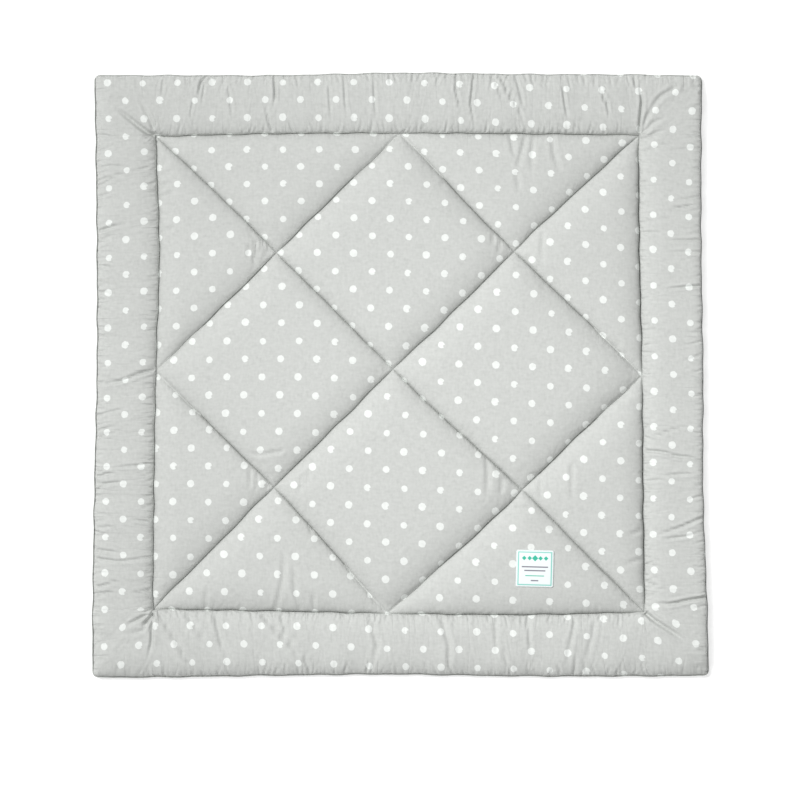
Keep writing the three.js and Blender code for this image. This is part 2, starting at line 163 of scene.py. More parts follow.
# Creases of the cloth, each placed one by one. The columns are the points that it runs through, the depth
# of its trough and half its width, all in millimetres.
CREASES = [
    # Head left corner
    ([(-403, 396), (-416, 400), (-429, 410), (-452, 428), (-469, 441)], 5.2, 2.9),
    ([(-406, 408), (-415, 428), (-427, 453), (-429, 460)], 1.8, 2.2),
    # Head right corner
    ([(395, 398), (397, 424), (400, 453), (396, 484)], 3.4, 2.0),
    ([(453, 472), (431, 460), (412, 436)], 2.4, 2.8),
    ([(400, 404), (408, 426), (422, 448)], 1.8, 2.6),
    ([(402, 400), (418, 416), (440, 424)], 1.8, 2.6),
    ([(402, 388), (424, 400), (444, 404)], 1.4, 2.6),
    # Foot left corner
    ([(-408, -396), (-418, -407), (-424, -417)], 5.0, 2.6),
    ([(-417, -396), (-440, -407), (-452, -415)], 3.2, 2.2),
    ([(-421, -420), (-438, -426), (-456, -424)], 2.6, 2.0),
    ([(-408, -407), (-409, -442), (-415, -469)], 2.2, 2.2),
    ([(-500, -420), (-485, -432), (-467, -446)], 1.8, 2.2),
    # Foot right corner
    ([(407, -394), (422, -406), (447, -422), (478, -443)], 5.2, 2.6),
    # Left border
    ([(-494, 342), (-475, 345), (-444, 342)], 1.4, 1.8),
    ([(-494, 320), (-471, 331)], 1.6, 1.8),
    ([(-493, 314), (-473, 325), (-450, 337)], 2.2, 1.8),
    ([(-416, 342), (-440, 337)], 1.6, 1.8),
    ([(-495, 238), (-473, 245), (-456, 248)], 3.0, 2.0),
    ([(-493, 181), (-469, 176)], 1.4, 1.8),
    ([(-495, 137), (-473, 134)], 1.4, 1.8),
    ([(-403, 10), (-428, 3), (-458, -10), (-497, -15)], 3.0, 2.2),
    ([(-501, -67), (-450, -54)], 1.8, 1.8),
    ([(-497, -167), (-483, -163), (-468, -162)], 2.4, 1.8),
    ([(-417, -148), (-444, -150), (-469, -152)], 1.4, 1.8),
    ([(-496, -179), (-473, -178), (-452, -176)], 1.4, 1.8),
    ([(-496, -252), (-467, -249)], 1.4, 1.8),
    ([(-415, -242), (-444, -238)], 1.4, 1.8),
    ([(-497, -288), (-473, -292), (-456, -294)], 1.6, 1.8),
    ([(-497, -303), (-464, -308), (-431, -304), (-413, -300)], 2.0, 1.8),
    ([(-497, -349), (-473, -343), (-460, -333)], 2.2, 1.8),
    ([(-497, -365), (-468, -353)], 1.6, 1.8),
    ([(-413, -355), (-444, -361)], 1.6, 1.8),
    # Head border
    ([(-390, 488), (-391, 459)], 1.6, 1.8),
    ([(-320, 493), (-329, 480), (-332, 455)], 3.0, 1.8),
    ([(-322, 478), (-324, 461), (-326, 445)], 1.4, 1.6),
    ([(-340, 453), (-346, 422)], 1.4, 1.6),
    ([(-282, 474), (-278, 445), (-275, 422)], 1.8, 1.8),
    ([(-207, 493), (-205, 465), (-207, 441)], 3.4, 1.8),
    ([(-211, 404), (-219, 430), (-221, 445)], 2.2, 1.8),
    ([(-116, 475), (-113, 419)], 1.4, 1.8),
    ([(-92, 497), (-88, 436), (-80, 427)], 1.8, 1.8),
    ([(-42, 482), (-39, 422)], 1.4, 1.8),
    ([(93, 496), (93, 470), (103, 429)], 2.2, 1.8),
    ([(123, 496), (118, 447), (126, 403)], 2.2, 1.8),
    ([(153, 493), (163, 476), (171, 449)], 1.4, 2.0),
    ([(166, 493), (179, 467), (198, 438), (208, 410)], 2.0, 2.2),
    ([(192, 493), (198, 469), (205, 441)], 1.6, 2.0),
    ([(270, 471), (274, 441), (279, 422)], 2.0, 1.8),
    ([(332, 469), (342, 449), (347, 424)], 2.4, 1.8),
    ([(388, 493), (389, 474)], 2.4, 1.8),
    # Right border
    ([(402, 368), (435, 379), (456, 389)], 1.6, 2.0),
    ([(495, 374), (468, 372), (443, 370)], 1.4, 1.8),
    ([(496, 295), (476, 291), (460, 282)], 1.6, 1.8),
    ([(483, 280), (460, 275), (440, 264)], 2.4, 2.0),
    ([(400, 236), (429, 235)], 1.8, 1.8),
    ([(495, 222), (435, 222)], 1.6, 1.8),
    ([(495, 203), (437, 203)], 1.4, 1.8),
    ([(495, 148), (460, 144), (433, 142)], 2.0, 1.8),
    ([(423, -102), (469, -82)], 1.6, 1.8),
    ([(407, -125), (435, -127), (455, -134), (500, -137)], 2.6, 2.2),
    ([(480, -163), (460, -164), (431, -166)], 1.8, 1.8),
    ([(408, -175), (436, -172)], 1.4, 1.8),
    ([(499, -235), (472, -248), (443, -259), (424, -264)], 2.4, 2.2),
    ([(476, -266), (435, -271)], 1.6, 1.8),
    ([(410, -342), (436, -356)], 1.6, 1.8),
    ([(504, -367), (476, -371), (451, -378), (418, -376)], 3.4, 2.2),
    # Foot border
    ([(-394, -398), (-372, -430), (-355, -461), (-332, -486)], 2.6, 3.6),
    ([(-350, -396), (-332, -422), (-311, -443)], 2.2, 3.4),
    ([(-304, -397), (-295, -438), (-280, -468)], 2.2, 3.4),
    ([(-224, -398), (-200, -422), (-179, -443), (-163, -469)], 2.6, 3.4),
    ([(-195, -399), (-187, -428)], 2.2, 2.6),
    ([(-156, -467), (-148, -491)], 1.8, 2.6),
    ([(-49, -394), (-37, -445), (-47, -483)], 1.6, 3.4),
    ([(68, -396), (82, -445), (82, -496)], 1.6, 3.4),
    ([(158, -401), (159, -428), (161, -464)], 1.2, 2.8),
    ([(171, -453), (180, -484)], 0.9, 2.8),
    ([(213, -401), (214, -430), (217, -466)], 1.2, 2.6),
    ([(289, -412), (280, -450), (274, -484)], 0.9, 3.2),
    ([(289, -490), (291, -455)], 0.9, 2.6),
    ([(322, -412), (314, -446), (306, -474)], 0.8, 3.2),
    # Left triangle, beside the frame seam
    ([(-399, 349), (-378, 356)], 1.8, 2.6),
    ([(-398, 327), (-370, 339)], 1.8, 2.6),
    ([(-398, 310), (-371, 319)], 2.0, 2.6),
    ([(-397, 292), (-369, 305)], 2.0, 2.6),
    ([(-395, 233), (-365, 249)], 2.0, 2.6),
    # Head triangle, below the frame seam
    ([(182, 398), (187, 375), (192, 354)], 1.8, 3.0),
    ([(209, 398), (198, 354), (195, 331)], 1.8, 3.0),
    ([(221, 397), (218, 354), (221, 327)], 1.4, 3.0),
    ([(252, 398), (255, 366), (266, 331)], 2.0, 3.0),
    ([(194, 330), (198, 298)], 1.4, 3.0),
    # Foot triangle, above the frame seam
    ([(-320, -384), (-318, -343)], 1.4, 2.8),
    ([(-203, -384), (-192, -335), (-190, -285)], 1.8, 3.0),
    ([(-163, -385), (-172, -360), (-174, -306)], 1.6, 3.0),
    ([(-141, -384), (-143, -356)], 1.8, 2.8),
    # Right triangle
    ([(400, -255), (376, -266)], 1.8, 2.6),
    ([(401, -304), (372, -311)], 1.6, 2.6),
    ([(284, -149), (285, -215)], 1.2, 3.0),
    # Beside the head left crossing
    ([(-210, 213), (-214, 205), (-218, 195)], 3.0, 2.2),
    ([(-216, 218), (-223, 200), (-225, 190)], 3.0, 2.2),
    ([(-225, 222), (-232, 200), (-229, 185)], 3.2, 2.4),
    ([(-237, 218), (-240, 193), (-237, 178)], 3.6, 2.6),
    ([(-247, 213), (-249, 200), (-246, 185)], 2.4, 2.4),
    ([(-237, 165), (-209, 165), (-183, 161)], 1.6, 2.6),
    ([(-229, 172), (-198, 169)], 1.4, 2.6),
    # Beside the head right crossing
    ([(155, 232), (153, 213)], 2.0, 2.4),
    ([(167, 222), (162, 199)], 2.2, 2.2),
    ([(236, 234), (234, 181)], 1.6, 3.0),
    # Beside the middle crossing
    ([(-25, 20), (-24, 10), (-21, 5)], 2.0, 2.0),
    ([(-19, 17), (-18, 11), (-16, 8)], 2.0, 2.0),
    # Beside the foot left crossing
    ([(-216, -173), (-218, -191)], 2.0, 2.0),
    ([(-235, -164), (-236, -193)], 2.0, 2.2),
    ([(-246, -156), (-246, -191)], 1.8, 2.4),
    ([(-161, -167), (-163, -197)], 2.0, 2.6),
    ([(-150, -158), (-153, -187)], 1.6, 2.6),
    ([(-150, -243), (-144, -266)], 2.2, 2.2),
    ([(-196, -126), (-225, -131), (-250, -131)], 1.6, 2.6),
    # Beside the foot right crossing
    ([(233, -171), (234, -209)], 2.2, 2.4),
    ([(214, -220), (182, -221)], 2.0, 2.6),
    ([(233, -165), (212, -163)], 1.8, 2.4),
    ([(144, -139), (146, -166), (144, -204)], 2.0, 3.0),
    ([(170, -172), (167, -200)], 1.8, 2.8),
]
CREASE_STRENGTH = 1.7  # how deep creases are pressed, as a share of the depths in the tables
CREASE_SPREAD = 1.15  # the same for their widths
CREASE_FADE = 0.45  # the share of its length, at its far end, over which a crease fades out
CREASE_BANK = 0.25  # the low banks that stand beside a crease, as a share of its depth
BANK_PLACE = 2.2  # how far out they stand, in halves of its width
ON_SEAM = 1e-5  # points nearer than this to a seam are on it
SEWN_FLAT = 0.0005  # this near to a seam there is no crease,
SEWN_REACH = 0.0030  # and they are at their full depth this much further from it

# Puckers, where the stitches gather the cloth: short creases across a seam, placed by a seeded dice.
# For each kind: the gaps between them, how long, deep and half as wide they are (millimetres), and
# how far they may lean.
PUCKERS = [
    {"seam": "frame", "gap": (5, 19), "long": (5, 24), "deep": (0.5, 1.6), "half": (1.3, 1.9), "lean": 0.45},
    {"seam": "edge", "gap": (5, 20), "long": (6, 34), "deep": (0.5, 1.5), "half": (1.4, 2.0), "lean": 0.45},
    {"seam": "panel", "gap": (9, 34), "long": (6, 15), "deep": (0.4, 0.9), "half": (1.5, 2.2), "lean": 0.50},
]
PUCKER_SEED = 7
PUCKER_BEND = 0.12  # how far its middle may lie to a side, as a share of its length

# How the cloth is settled: weak springs hold it to the wadding, which also presses it up. The slack
# is the cloth's spare length as a share of its length.
WADDING_HOLD = 0.2
WADDING_PRESSURE = 0.3
BORDER_SLACK = 0.008
PANEL_SLACK = 0.002
CLOTH_STIFFNESS = {"tension": 20, "compression": 20, "shear": 2, "bending": 0.01}
CLOTH_DAMPING = {"tension": 5, "compression": 5, "shear": 5, "bending": 0.5, "air": 2}
SETTLE_FRAMES = 10
SETTLE_CAP = 0.004  # the furthest that a point may move

# The print: white dots in staggered rows. The rows of shifts say how far, in millimetres, the print
# has slipped from straight rows, at PRINT_PLACES from the left edge to the right.
DOT_PITCH = 0.060  # from a dot to the next one in its row
DOT_SIZES = (0.0104, 0.0128)
DOT_JITTER = 0.035  # how far the dots stray, as a share of the way to the next one
DOT_RAGGED = 0.0022
DOT_SOFT = 0.0005
PRINT_START = (0.01196, 0.1031)
PRINT_PLACES = np.array([-0.5, -0.25, 0.0, 0.25, 0.5])
PRINT_SHIFTS = [
    {"row": "foot edge", "x": [-10, -3, 2, 4, -1], "y": [-18, -24, -16, -11, 7]},
    {"row": "foot crossings", "x": [-14, 2, 5, 6, 14], "y": [-20, -18, -11, 0, 8]},
    {"row": "middle", "x": [-17, -3, 2, 4, 11], "y": [-7, -14, -9, 1, 15]},
    {"row": "head crossings", "x": [-19, -7, -3, 2, 17], "y": [3, -7, -4, 6, 24]},
    {"row": "head edge", "x": [-17, -7, 0, 8, 6], "y": [12, 11, 11, 21, 29]},
]
SEAM_TAKE = 0.003  # the cloth that a seam hides on each of its sides
TAKE_START = 0.0015
TAKE_REACH = 0.050
HEAD_SLIP = 0.0035  # how far the print has slipped towards the foot at the head's frame seam,
HEAD_SLIP_REACH = 0.030  # and how far from the seam that reaches
UNDER_PRINT_SHIFT = (0.017, 0.011)
RAGGED_NOISE = (260.0, 3.0)  # scale and detail
NICK_DICE = (0.45, 1.0)  # the dots whose dice fall in this range have a nick in their edge,
NICK_SIZES = (0.0, 0.45)  # of this radius, as a share of the dot's own
NICK_PLACE = (0.90, 0.44, 0.0)  # where the nick is, in the directions of the rows

# The cloth itself. A scale of noise is its features in a metre, and a pair of them is along X and Y.
# The ranges are the part of a noise that goes from dark to light.
THREAD_PITCH = 0.00045  # the width of one thread of the cloth
WEAVE_DEPTH = 0.00003
SLUB_DEPTH = 0.00008
STREAKS = (240.0, 110.0)
STREAK_RANGE = (0.35, 0.65)
MOTTLES = 70.0
MOTTLE_RANGE = (0.3, 0.7)
MOTTLE_SHARE = 0.45
CLOTH_DETAIL = 4.0

# Fine gathers beside the seams, too fine for the mesh: short folds that run away from the seam
GATHERS = (56.0, 11.0)
GATHERS_OVER = (75.0, 65.0)  # beside the diagonal seams
GATHER_DEPTH = 0.0011
GATHER_EDGE = 0.09
GATHER_PLACES = [
    {"seam": "frame, in the border", "strength": 0.8, "reach": 0.020},
    {"seam": "outer edge", "strength": 0.8, "reach": 0.024},
    {"seam": "frame, in the panels", "strength": 0.4, "reach": 0.016},
    {"seam": "diagonals", "strength": 0.4, "reach": 0.010},
]
GATHERS_LEFT = 1.5  # how much stronger the gathers of the left border are

# Where the top and the underside lie in the map for baking: the low corner and the size of each
BAKE_HALF = 0.515
BAKE_TOP = (0.004, 0.700)
BAKE_UNDER = (0.710, 0.285)

# Stitches: a thread along every seam, seen on both faces
STITCH = {"pitch": 0.004, "length": 0.0034, "radius": 0.00022}
STITCH_LIFT = 0.0003  # how far the middle of a stitch stands out of the cloth
STITCH_RISE = 0.0004  # how far the thread lies above the bottom of its seam
STITCH_SIDES = 5
STITCH_AT = np.array([-0.5, -0.3, 0, 0.3, 0.5])  # its points along it, as shares of its length,
STITCH_ARCH = np.array([-0.6, 0.4, 1, 0.4, -0.6])  # and their heights, as shares of its lift
PATH_STEP = 0.002
TWIST = 2500.0  # the scale of the thread's twist
TWIST_GROOVE_SHADE = 0.8  # painted shade: the colour in the grooves between the twists, as a share of the thread's
TWIST_BUMP = (0.4, 0.0001)  # strength and distance

# The label, sewn on flat near the foot right corner
LABEL_MIDDLE = (0.223, -0.319)
LABEL_WIDTH = 0.062
LABEL_HEIGHT = 0.061
LABEL_TURN = -1.5
LABEL_ROUND = 0.003
LABEL_THICK = 0.0005
LABEL_GAP = 0.0004
LABEL_PUFF = 0.0006  # how far the middle stands off the cloth more than the sewn edge
LABEL_PUFF_EDGE = 0.25  # the outer share of its half width, over which the puff rises
LABEL_CELLS = 40
LABEL_SMOOTHINGS = 12
LABEL_SEAM_INSET = 0.0013
LABEL_SEAM_POINTS = 60  # along each side
LABEL_STITCH = {"pitch": 0.0027, "length": 0.0022, "radius": 0.00018, "lift": 0.0002}
SATIN = (30.0, 900.0)  # the scales of the satin's threads, across and up the label
SATIN_BUMP = (0.15, 0.0001)  # strength and distance


def shade(red, green, blue):
    """A colour given in the usual 0 to 255 steps, as linear light."""
    parts = np.array([red, green, blue]) / 255
    linear = np.where(parts <= 0.04045, parts / 12.92, ((parts + 0.055) / 1.055) ** 2.4)
    return (*linear.tolist(), 1.0)


COTTON_DARK = shade(182, 184, 181)
COTTON_LIGHT = shade(196, 198, 195)
DOT_DARK = shade(219, 222, 219)
DOT_LIGHT = shade(229, 232, 229)
THREAD_GREY = shade(184, 188, 184)
THREAD_WHITE = shade(230, 233, 232)
LABEL_WHITE = shade(232, 238, 238)
LABEL_WHITE_DARK = shade(222, 230, 230)
LABEL_TEAL = shade(40, 178, 150)
LABEL_TEAL_PALE = shade(128, 200, 188)
LABEL_GREY = shade(120, 116, 130)

# The label's print, in shares of its width and height
LABEL_LINE_AT = 0.44  # how far the border line is from the middle
LABEL_LINE_WIDTH = 0.030
LABEL_SOFT = 0.006
DIAMOND_SIZES = (0.062, 0.062, 0.085, 0.062, 0.062)
DIAMOND_STEP = 0.145
DIAMONDS_UP = 0.78
LABEL_RULES = [
    {"up": 0.545, "width": 0.70, "thick": 0.034, "colour": LABEL_GREY},
    {"up": 0.445, "width": 0.56, "thick": 0.034, "colour": LABEL_GREY},
    {"up": 0.305, "width": 0.50, "thick": 0.024, "colour": LABEL_TEAL},
    {"up": 0.175, "width": 0.20, "thick": 0.034, "colour": LABEL_GREY},
]

# The studio
FLOOR_SIZE = 16.0
FLOOR_DROP = 0.0003  # how far it is below the mat
FLOOR_COLOUR = (0.75, 0.75, 0.75, 1.0)
FLOOR_GLOW = 0.5
SKY_STRENGTH = 0.42
SUN_STRENGTH = 2.15
SUN_SIZE = 16  # degrees across
SUN_FROM = (-0.83, 0.56)
SUN_HEIGHT = 48  # degrees above the floor
OVERHEAD_SIZE = 0.5
OVERHEAD_HEIGHT = 1.15
OVERHEAD_POWER = 5.2

# The camera looks straight down at the place in the middle of the photo's frame
VIEW_WIDTH = 1.32
VIEW_MIDDLE = (-0.0005, -0.041)
VIEW_LEVEL = 0.02  # the height at which the frame is VIEW_WIDTH wide
LENS = 250.0
SENSOR = 36.0


def smooth(share):
    """A soft step from 0 to 1."""
    t = np.clip(share, 0, 1)
    return t * t * (3 - 2 * t)


def pulled(off, pull):
    """How far a point this far off a seam is pulled in to it, by the share given right beside it."""
    return pull * off * np.exp(-np.abs(off) / PULL_REACH)


def pulled_to_diagonals(across):
    off = across - np.round(across / FRAME_HALF) * FRAME_HALF
    return across - pulled(off, SEAM_PULL)


def pulled_to_frame(along):
    return along - pulled(along - FRAME_HALF, FRAME_PULL) - pulled(along + FRAME_HALF, FRAME_PULL)


def grid_lines():
    """The lines of the grid along one side of the mat, from -EDGE_HALF to EDGE_HALF."""
    inner = np.arange(-FRAME_LINES, FRAME_LINES + 1) * FRAME_HALF / FRAME_LINES
    outer = FRAME_HALF + np.array(BORDER_OFFSETS) * MM
    return np.concatenate([-outer[::-1], inner, outer])


GRID = grid_lines()
COUNT = len(GRID)
FRAME_START = BORDER_LINES
FRAME_END = COUNT - 1 - BORDER_LINES


def drawn_to_seams(x, y):
    """Points of the pattern moved nearer to its seams, so that the grid is finest along them."""
    in_x, in_y = np.abs(x) <= FRAME_HALF, np.abs(y) <= FRAME_HALF
    across_x = np.where(in_x, pulled_to_frame(x), x)
    across_y = np.where(in_y, pulled_to_frame(y), y)
    rising = pulled_to_diagonals(across_x + across_y)
    falling = pulled_to_diagonals(across_x - across_y)
    inside = in_x & in_y
    outward = smooth(-inside_frame(x, y) / EVEN_AGAIN)
    along_x = pulled_to_diagonals(across_x) * (1 - outward) + x * outward
    along_y = pulled_to_diagonals(across_y) * (1 - outward) + y * outward
    new_x = np.where(inside, (rising + falling) / 2, np.where(in_x, along_x, x))
    new_y = np.where(inside, (rising - falling) / 2, np.where(in_y, along_y, y))
    return new_x, new_y


def round_corners(x, y, half=EDGE_HALF, radius=CORNER_ROUND):
    """Points of a square of this half width, with its corners rounded off."""
    start = half - radius
    a = np.clip((np.abs(x) - start) / radius, 0, 1)
    b = np.clip((np.abs(y) - start) / radius, 0, 1)
    corner = (a > 0) & (b > 0)
    round_x = np.sign(x) * (start + radius * a * np.sqrt(1 - b * b / 2))
    round_y = np.sign(y) * (start + radius * b * np.sqrt(1 - a * a / 2))
    return np.where(corner, round_x, x), np.where(corner, round_y, y)


def through(values, at, places=NOMINAL):
    """Smooth curves through the values given at some places."""
    count = len(places)
    before = np.maximum(np.arange(count) - 1, 0)
    after = np.minimum(np.arange(count) + 1, count - 1)
    slopes = (values[after] - values[before]) / (places[after] - places[before])[:, None]
    i = np.clip(np.searchsorted(places, at) - 1, 0, count - 2)
    each = np.arange(len(at)) if values.shape[1] > 1 else 0
    span = places[i + 1] - places[i]
    t = (at - places[i]) / span
    s = 1 - t
    return (
        values[i, each] * (1 + 2 * t) * s * s
        + slopes[i, each] * span * t * s * s
        + values[i + 1, each] * (3 - 2 * t) * t * t
        - slopes[i + 1, each] * span * t * t * s
    )


def surface(table, axis, x, y, places=NOMINAL):
    """A smooth surface through one axis of a table, whose rows and columns lie at these places."""
    rows = [through(np.array(row[axis])[:, None], x, places) for row in table]
    return through(np.array(rows), y, places)


def place(x, y):
    """Where points of the pattern really lie, by LINES and with the waver."""
    short, long = (2 * math.pi / length for length in WAVER_LENGTHS)
    real = []
    for axis, across, along in (("x", y, x), ("y", x, -y)):
        waver = WAVER * np.sin(short * across + long * along) * np.sin(long * across)
        real.append(surface(LINES, axis, x, y) + waver)
    return np.stack(real, 1)


def rise(distance, shoulder, steepness=STEEPNESS):
    """From 0 at a seam to 1 at the shoulder's distance, steep at first like the side of a cushion."""
    t = np.clip(distance / shoulder, 0, 1)
    return (1 - (1 - t) ** 2) ** steepness


def from_diagonal(across):
    """The distance from the nearest seam of one family of parallel diagonals."""
    lines = across / FRAME_HALF
    return np.abs(lines - np.round(lines)) * FRAME_HALF / math.sqrt(2)


def inside_frame(x, y):
    """How far inside the frame seam points of the pattern are, or outside where this is below 0."""
    return FRAME_HALF - np.maximum(np.abs(x), np.abs(y))


def from_edge(x, y):
    return inside_frame(x, y) + BORDER_WIDTH


def from_diagonals(x, y):
    return np.minimum(from_diagonal(x + y), from_diagonal(x - y))


def from_quilting(x, y):
    """The distance from the nearest seam inside the outer edge."""
    inward = inside_frame(x, y)
    return np.minimum(np.abs(inward), np.where(inward >= 0, from_diagonals(x, y), EDGE_HALF))


def seam_distance(x, y):
    """How far points of the pattern are from the nearest seam or from the sewn outer edge."""
    return np.minimum(from_quilting(x, y), from_edge(x, y))


def ditch(distance):
    """How far the cloth stands above the bottom of a seam's ditch, this far from the seam."""
    return DITCH_DEPTH * (1 - np.exp(-((distance / DITCH_HALF) ** 2)))


def on_side(side, y):
    """How much points of the pattern belong to one side of the mat, side being their distance from
    the middle towards it."""
    return smooth((side - np.abs(y)) / SIDE_FADE)


def lip_seam(x, y):
    """The height of the edge's own seam."""
    return LIP_SEAM - LEFT_LIP_PULL * on_side(-x, y)


def panel_height(x, y):
    loft = np.where(np.abs(x) + np.abs(y) < FRAME_HALF, SQUARE_LOFT, TRIANGLE_LOFT) - DITCH_DEPTH

    steepness = STEEPNESS + (RIGHT_FRAME_STEEPNESS - STEEPNESS) * on_side(x, y)

    def filled(shoulder, frame_shoulder):
        diagonals = rise(from_diagonal(x + y), shoulder) * rise(from_diagonal(x - y), shoulder)
        return diagonals * rise(inside_frame(x, y), frame_shoulder, steepness)

    sides = (1 - CROWN) * filled(PANEL_SHOULDER, FRAME_SHOULDER)
    puff = loft * (sides + CROWN * filled(PANEL_HALF, PANEL_HALF))
    return SEAM_TOP + ditch(seam_distance(x, y)) + puff


def border_height(x, y):
    out_x = np.maximum(np.abs(x) - FRAME_HALF, 0)
    out_y = np.maximum(np.abs(y) - FRAME_HALF, 0)
    sewn = BORDER_WIDTH - LIP_WIDTH  # from the frame seam to the edge's own seam
    in_x, in_y = sewn - out_x, sewn - out_y
    inward, outward = np.maximum(np.minimum(in_x, in_y), 0), np.maximum(out_x, out_y)
    low = lip_seam(x, y)
    base = SEAM_TOP + (low - SEAM_TOP) * np.minimum(outward / sewn, 1)
    lip = (EDGE_HEIGHT - low) * smooth(2 * (outward - sewn) / LIP_WIDTH)
    along = np.where(out_x > out_y, y + RIPPLE_LEAN * out_x, x + RIPPLE_LEAN * out_y)
    off_corner = np.abs(out_x - out_y) / BORDER_WIDTH
    ripple = RIPPLE_HEIGHT * off_corner * np.sin(along * 2 * math.pi / RIPPLE_LENGTH)
    out = np.hypot(out_x, out_y)
    right = on_side(x, y)
    side_shoulder = EDGE_SHOULDER + (RIGHT_EDGE_SHOULDER - EDGE_SHOULDER) * right
    steepness = STEEPNESS + (RIGHT_EDGE_STEEPNESS - STEEPNESS) * right
    edge = rise(in_x, side_shoulder, steepness) * rise(in_y, EDGE_SHOULDER)
    puff = (BORDER_LOFT - DITCH_DEPTH + ripple) * rise(out, BORDER_SHOULDER) * edge
    return base + lip + ditch(np.minimum(out, inward)) + puff


def top_height(x, y):
    return np.where(inside_frame(x, y) >= 0, panel_height(x, y), border_height(x, y))


def under_height(x, y):
    """Flat on the floor but for shallow channels along the seams and the edge."""
    seam_lift = SEAM_UNDER * (1 - rise(from_quilting(x, y), UNDER_SHOULDER))
    edge_lift = EDGE_HEIGHT * (1 - rise(from_edge(x, y), UNDER_EDGE_SHOULDER))
    return np.maximum(seam_lift, edge_lift)


def middle_of_outline():
    """The middle of the outline's box, which lies over the origin."""
    side = np.linspace(-EDGE_HALF, EDGE_HALF, COUNT)
    edge = np.full(COUNT, EDGE_HALF)
    x = np.concatenate([side, side, edge, -edge])
    y = np.concatenate([edge, -edge, side, side])
    outline = place(*round_corners(x, y))
    return (outline.min(0) + outline.max(0)) / 2


MIDDLE = middle_of_outline()


def lines_between(first, last, step):
    return list(range(first, last + 1, step))


def border_lines(first, steps, outward):
    """The border's lines from the frame seam's line to the edge, outward being 1 or -1."""
    return sorted([first] + [first + outward * sum(steps[: k + 1]) for k in range(len(steps))])


def patches(panel_step, along_step, border_steps, corner_steps):
    """The lines of the cells of each part of the grid: the panels, four border strips, four corners."""
    inner = lines_between(FRAME_START, FRAME_END, panel_step)
    along = lines_between(FRAME_START, FRAME_END, along_step)
    low, high = border_lines(FRAME_START, border_steps, -1), border_lines(FRAME_END, border_steps, 1)
    corner_low = border_lines(FRAME_START, corner_steps, -1)
    corner_high = border_lines(FRAME_END, corner_steps, 1)
    strips = [(along, low), (along, high), (low, along), (high, along)]
    corners = [(a, b) for a in (corner_low, corner_high) for b in (corner_low, corner_high)]
    return [(inner, inner), *strips, *corners]


def used_points(parts):
    used = np.zeros((COUNT, COUNT), bool)
    for columns, rows in parts:
        used[np.ix_(columns, rows)] = True
    return used


def cell_rings(parts, used):
    """The used points round each cell, anticlockwise from above, from its low left corner. With each
    comes the count of points on its four sides, the low side first."""
    for columns, rows in parts:
        for left, right in zip(columns, columns[1:]):
            for low, high in zip(rows, rows[1:]):
                sides = [
                    [(i, low) for i in range(left, right)],
                    [(right, j) for j in range(low, high)],
                    [(i, high) for i in range(right, left, -1)],
                    [(left, j) for j in range(high, low, -1)],
                ]
                yield [[p for p in side if used[p]] for side in sides]


def splits_rising(corners):
    """Whether a cell is split along the rising diagonal, the one that runs with the nearest seam."""
    x = sum(GRID[i] for i, _ in corners) / 4
    y = sum(GRID[j] for _, j in corners) / 4
    return from_diagonal(x - y) <= from_diagonal(x + y) + 1e-9


def cell_faces(sides):
    """The triangles of a cell: a fan round a corner whose own two sides have no points between."""
    ring = [point for side in sides for point in side]
    starts = [0, len(sides[0]), len(sides[0]) + len(sides[1]), len(ring) - len(sides[3])]
    wanted = (0, 2, 1, 3) if splits_rising([ring[k] for k in starts]) else (1, 3, 0, 2)
    corner = next(k for k in wanted if len(sides[k]) == 1 and len(sides[k - 1]) == 1)
    fan = ring[starts[corner] :] + ring[: starts[corner]]
    return [(fan[0], fan[k], fan[k + 1]) for k in range(1, len(fan) - 1)]


def crease_lift(points, at, deep, half_width):
    """The points near one crease, and how far it lifts each: down in its trough, up on its banks."""
    way = np.array(at) * MM - MIDDLE
    half = half_width * CREASE_SPREAD * MM
    margin = 4 * half
    near = np.flatnonzero(((points > way.min(0) - margin) & (points < way.max(0) + margin)).all(1))
    best = np.full(len(near), margin)
    along = np.zeros(len(near))
    lengths = np.hypot(*np.diff(way, axis=0).T)
    done = 0.0
    for start, end, length in zip(way, way[1:], lengths):
        t = np.clip((points[near] - start) @ (end - start) / length**2, 0, 1)
        distance = np.hypot(*(points[near] - start - t[:, None] * (end - start)).T)
        closer = distance < best
        best[closer] = distance[closer]
        along[closer] = (done + t[closer] * length) / lengths.sum()
        done += length
    fade = smooth((1 - along) / CREASE_FADE)
    trough = np.exp(-((best / half) ** 2))
    bank = CREASE_BANK * np.exp(-((best / half - BANK_PLACE) ** 2))
    return near, (bank - trough) * fade * deep * CREASE_STRENGTH * MM


def pucker(kind, dice, start, across, along):
    """A row like those of CREASES for one pucker, from a place on a seam: across and along are the
    seam's own directions."""
    length = dice.uniform(*kind["long"]) * MM
    lean = dice.uniform(-kind["lean"], kind["lean"])
    bend = dice.uniform(-PUCKER_BEND, PUCKER_BEND) * length
    way = across * length + along * length * lean
    points = [start, start + way / 2 + along * bend, start + way]
    at = [tuple((p + MIDDLE) / MM) for p in points]
    return at, dice.uniform(*kind["deep"]), dice.uniform(*kind["half"])


def puckers_along(kind, dice, pattern_line, across):
    """Puckers at uneven gaps along one seam, given by the ends of its line in the pattern."""
    (x0, y0), (x1, y1) = pattern_line
    length = math.hypot(x1 - x0, y1 - y0)
    along = np.array([x1 - x0, y1 - y0]) / length
    at = dice.uniform(*kind["gap"]) * MM
    found = []
    while at < length:
        share = at / length
        spot = np.array([x0 + (x1 - x0) * share]), np.array([y0 + (y1 - y0) * share])
        start = place(*spot)[0] - MIDDLE
        found.append(pucker(kind, dice, start, across, along))
        at += dice.uniform(*kind["gap"]) * MM
    return found


